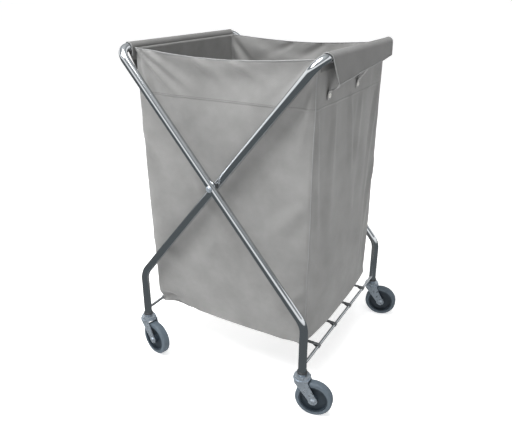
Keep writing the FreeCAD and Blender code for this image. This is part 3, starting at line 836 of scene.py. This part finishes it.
def flap_spot(side, around, along):
    """A point of a flap: around goes from the bag's wall over the rail to the free edge."""
    ends = flap_ends[side]
    sweep = front_sweep * max(0.0, around - 0.42) / 0.58
    y = ends[0] + sweep + (ends[1] - ends[0] - sweep) * along
    drop = front_drop + (rear_drop - front_drop) * along
    arch_length = math.pi * arch_radius
    reach = (inner_rise + arch_length + drop) * around
    if reach < inner_rise:
        out, up = -arch_radius, reach - inner_rise
    elif reach < inner_rise + arch_length:
        turn = math.pi - (reach - inner_rise) / arch_radius
        out, up = arch_radius * math.cos(turn), arch_radius * math.sin(turn)
    else:
        out, up = arch_radius, inner_rise + arch_length - reach
        low = -up / drop
        ripple = math.sin(9 * along + side) + 0.6 * math.sin(23 * along + 2 * side)
        out += low * (0.0012 + 0.0010 * ripple) + 0.0016 * low * low * (1 - along)
    return Vector((side * (rail_across + out), y, rail_height + up)), (y, reach)


def rail_flap(name, side):
    """One flap as a sheet with its own cloth coordinates, and its turned edge."""
    around_steps = 2 * leg_steps + arch_steps
    spots, cuts = [], []
    for step in range(around_steps + 1):
        for place in range(length_steps + 1):
            spot, cut = flap_spot(side, step / around_steps, place / length_steps)
            spots.append(spot)
            cuts.append(cut)
    row = length_steps + 1
    quads = []
    for step in range(around_steps):
        for place in range(length_steps):
            near = step * row + place
            quads.append((near, near + 1, near + row + 1, near + row))
    mesh = bpy.data.meshes.new(name)
    mesh.from_pydata(spots, [], quads)
    cut_map = mesh.uv_layers.new(name="canvas")
    for loop in mesh.loops:
        cut_map.data[loop.index].uv = cuts[loop.vertex_index]
    for face in mesh.polygons:
        face.use_smooth = True
    mesh.materials.append(flap_canvas_painted_shade)
    piece = bpy.data.objects.new(name, mesh)
    bpy.context.scene.collection.objects.link(piece)
    body = piece.modifiers.new("cloth_thickness", "SOLIDIFY")
    body.thickness = canvas_thickness
    body.offset = 0.0
    front_edge = [spots[step * row] for step in range(3, around_steps + 1)]
    free_edge = spots[around_steps * row + 1:]
    rear_edge = [spots[step * row + length_steps] for step in range(around_steps - 1, 2, -1)]
    edge_path = front_edge + free_edge + rear_edge
    edge = round_bar(f"{name}_edge", edge_path, 0.0014, 2, tape)
    return piece, edge


flap_ends = {
    -1: [corner.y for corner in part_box("left_flap")],
    1: [corner.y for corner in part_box("right_flap")],
}
# the flaps are the walls' canvas painted darker: their colours are painted shade
flap_canvas_painted_shade = woven_cloth("grey_flap_canvas", "#646463", "#585857", 0.002)
for flap_name, side, body_name in (("left_flap", -1, "bag"), ("right_flap", 1, "bag_right")):
    flap, flap_edge = rail_flap(flap_name + "_cloth", side)
    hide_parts(flap_name)
    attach(flap, body_name)
    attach(flap_edge, body_name)


# The tabs: two short webbing straps a side come from the flap's free edge to the wall,
# each closed by a plated press stud, so that the bag can be unsnapped and washed.

webbing_tape, webbing_tree, webbing_output = new_material("woven_tab_webbing")
webbing_place = add_node(webbing_tree, "ShaderNodeTexCoord")
webbing_axes = add_node(webbing_tree, "ShaderNodeSeparateXYZ", {0: webbing_place.outputs["Object"]})
webbing_turn = add_node(webbing_tree, "ShaderNodeMath", {
    0: webbing_axes.outputs["Y"],
    1: math.tau / 0.003,
}, operation="MULTIPLY")
webbing_rib = add_node(webbing_tree, "ShaderNodeMath", {
    0: webbing_turn.outputs[0],
}, operation="SINE")
webbing_fuzz = add_node(webbing_tree, "ShaderNodeTexNoise", {
    "Vector": webbing_place.outputs["Object"],
    "Scale": 700.0,
    "Detail": 3.0,
})
webbing_relief = add_node(webbing_tree, "ShaderNodeMath", {
    0: webbing_rib.outputs[0],
    1: webbing_fuzz.outputs[0],
}, operation="ADD")
webbing_bump = add_node(webbing_tree, "ShaderNodeBump", {
    "Strength": 0.5,
    "Distance": 0.0004,
    "Height": webbing_relief.outputs[0],
})
webbing_colour = add_node(webbing_tree, "ShaderNodeMix", {
    0: webbing_fuzz.outputs[0],
    6: linear("#7a7a7a"),
    7: linear("#989897"),
}, data_type="RGBA")
webbing_shader = add_node(webbing_tree, "ShaderNodeBsdfPrincipled", {
    "Base Color": webbing_colour.outputs[2],
    "Roughness": 0.7,
    "IOR": 1.5,
    "Sheen Weight": 0.15,
    "Normal": webbing_bump.outputs[0],
})
webbing_tree.links.new(webbing_shader.outputs[0], webbing_output.inputs[0])

tab_low, tab_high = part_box("right_tabs")
tab_width = 0.018
tab_half = tab_width / 2
tab_places = (tab_low.y + tab_half, tab_high.y - tab_half)
tab_thickness = 0.0013
wall_face = right_high.x


def strap(name, line, width, thickness, material, across):
    """Flat webbing: a rounded strip that follows a line of points, with its width across."""
    smooth = []
    for step in range(len(line) - 1):
        before = line[max(step - 1, 0)]
        here, after = line[step], line[step + 1]
        beyond = line[min(step + 2, len(line) - 1)]
        for part in range(6):
            t = part / 6
            smooth.append(0.5 * (
                2 * here + (after - before) * t
                + (2 * before - 5 * here + 4 * after - beyond) * t * t
                + (3 * here - before - 3 * after + beyond) * t ** 3
            ))
    smooth.append(line[-1])
    mesh = bpy.data.meshes.new(name)
    shape = bmesh.new()
    shares = (-1.0, -0.82, -0.3, 0.3, 0.82, 1.0)
    rings = []
    for spot in smooth:
        rings.append([shape.verts.new(spot + across * (width / 2 * share)) for share in shares])
    for first, second in zip(rings, rings[1:]):
        for place in range(len(shares) - 1):
            shape.faces.new((first[place], first[place + 1], second[place + 1], second[place]))
    bmesh.ops.recalc_face_normals(shape, faces=shape.faces)
    for face in shape.faces:
        face.smooth = True
    shape.to_mesh(mesh)
    shape.free()
    mesh.materials.append(material)
    piece = bpy.data.objects.new(name, mesh)
    bpy.context.scene.collection.objects.link(piece)
    body = piece.modifiers.new("webbing_thickness", "SOLIDIFY")
    body.thickness = thickness
    body.offset = 0.0
    return piece


for side, body_name, side_name in ((-1, "bag", "left"), (1, "bag_right", "right")):
    for end, along in zip(("front", "middle"), tab_places):
        share = (along - flap_ends[side][0]) / (flap_ends[side][1] - flap_ends[side][0])
        edge_height = rail_height - front_drop + (front_drop - rear_drop) * share
        wall_place = wall_face + 0.0006
        flap_place = rail_across + arch_radius + 0.0002
        line = [
            Vector((side * wall_place, along, tab_low.z)),
            Vector((side * (wall_place + 0.0008), along, tab_low.z + 0.012)),
            Vector((side * (wall_place + 0.0045), along, tab_low.z + 0.021)),
            Vector((side * (flap_place - 0.006), along, edge_height - 0.012)),
            Vector((side * flap_place, along, edge_height + 0.001)),
            Vector((side * (flap_place - 0.0016), along, edge_height + 0.010)),
        ]
        tab_name = f"{side_name}_{end}_tab"
        tab = strap(
            tab_name, line, tab_width, tab_thickness, webbing_tape, Vector((0, 1, 0))
        )
        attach(tab, body_name)
    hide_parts(f"{side_name}_tabs")

# Nickel-plated brass under clear lacquer: brighter and warmer than zinc, with fine marks.
nickel, nickel_tree, nickel_output = new_material("nickel_plated_stud")
nickel_place = add_node(nickel_tree, "ShaderNodeTexCoord")
nickel_marks = add_node(nickel_tree, "ShaderNodeTexNoise", {
    "Vector": nickel_place.outputs["Object"],
    "Scale": 600.0,
    "Detail": 3.0,
})
nickel_roughness = add_node(nickel_tree, "ShaderNodeMapRange", {
    "Value": nickel_marks.outputs[0],
    "From Min": 0.3,
    "From Max": 0.7,
    "To Min": 0.3,
    "To Max": 0.42,
})
nickel_shader = add_node(nickel_tree, "ShaderNodeBsdfPrincipled", {
    "Base Color": linear("#f3f1ec"),
    "Metallic": 0.5,
    "Roughness": nickel_roughness.outputs[0],
})
nickel_tree.links.new(nickel_shader.outputs[0], nickel_output.inputs[0])
paint(nickel, "left_studs", "right_studs")
soften_edges(0.0011, "left_studs", "right_studs")


# The base straps: four narrow loops of webbing round the two bottom rods, sewn under the
# bag's floor. Each is a loop at either rod, which stays on that rod when the frame folds,
# and a band of two layers between them, which shortens.

strap_body, strap_tree, strap_output = new_material("grey_base_webbing")
strap_place = add_node(strap_tree, "ShaderNodeTexCoord")
strap_axes = add_node(strap_tree, "ShaderNodeSeparateXYZ", {0: strap_place.outputs["Object"]})
strap_turn = add_node(strap_tree, "ShaderNodeMath", {
    0: strap_axes.outputs["Y"],
    1: math.tau / 0.0028,
}, operation="MULTIPLY")
strap_rib = add_node(strap_tree, "ShaderNodeMath", {0: strap_turn.outputs[0]}, operation="SINE")
strap_fuzz = add_node(strap_tree, "ShaderNodeTexNoise", {
    "Vector": strap_place.outputs["Object"],
    "Scale": 600.0,
    "Detail": 3.0,
})
strap_relief = add_node(strap_tree, "ShaderNodeMath", {
    0: strap_rib.outputs[0],
    1: strap_fuzz.outputs[0],
}, operation="ADD")
strap_bump = add_node(strap_tree, "ShaderNodeBump", {
    "Strength": 0.5,
    "Distance": 0.0004,
    "Height": strap_relief.outputs[0],
})
strap_colour = add_node(strap_tree, "ShaderNodeMix", {
    0: strap_fuzz.outputs[0],
    6: linear("#55585a"),
    7: linear("#777a7d"),
}, data_type="RGBA")
strap_shader = add_node(strap_tree, "ShaderNodeBsdfPrincipled", {
    "Base Color": strap_colour.outputs[2],
    "Roughness": 0.72,
    "IOR": 1.5,
    "Sheen Weight": 0.1,
    "Normal": strap_bump.outputs[0],
})
strap_tree.links.new(strap_shader.outputs[0], strap_output.inputs[0])

rod_low, rod_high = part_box("outer_bottom_rod")
rod_across = (rod_low.x + rod_high.x) / 2
rod_level = (rod_low.z + rod_high.z) / 2
loop_radius = (strap_high.z - strap_low.z) / 2 - 0.0006
strap_width = 0.010
top_layer = rod_level + loop_radius
strap_places = (strap_low.y + strap_width / 2, -0.059, 0.059, strap_high.y - strap_width / 2)
layer_gap = 0.0014
loop_thickness = 0.0011
band_thickness = 0.0024
band_reach = 0.016
along_rods = Vector((0, 1, 0))


def rod_loop(name, end, along, body_name):
    """The end of one strap, sewn tight round a stretcher rod."""
    inward = -math.copysign(1, end)
    line = [Vector((end + inward * band_reach, along, top_layer - layer_gap / 2))]
    for step in range(12):
        turn = math.radians(90 - 18 * step) if end > 0 else math.radians(90 + 18 * step)
        line.append(Vector((
            end + loop_radius * math.cos(turn),
            along,
            rod_level + loop_radius * math.sin(turn),
        )))
    line.append(Vector((end + inward * band_reach, along, top_layer - layer_gap)))
    loop = strap(name, line, strap_width, loop_thickness, strap_body, along_rods)
    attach(loop, body_name)
    return loop


band_lap = 0.002
band_end = rod_across - band_reach + band_lap
band_level = top_layer - layer_gap / 2
for number, along in enumerate(strap_places, 1):
    name = f"base_strap_{number}"
    rod_loop(f"{name}_outer_loop", rod_across, along, "outer_frame")
    rod_loop(f"{name}_inner_loop", -rod_across, along, "inner_frame")
    line = [Vector((band_end * share, along, band_level)) for share in (1, 0.5, 0, -0.5, -1)]
    band = strap(name, line, strap_width, band_thickness, strap_body, along_rods)
    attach(band, "base")
    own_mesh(band)
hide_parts("base_straps")
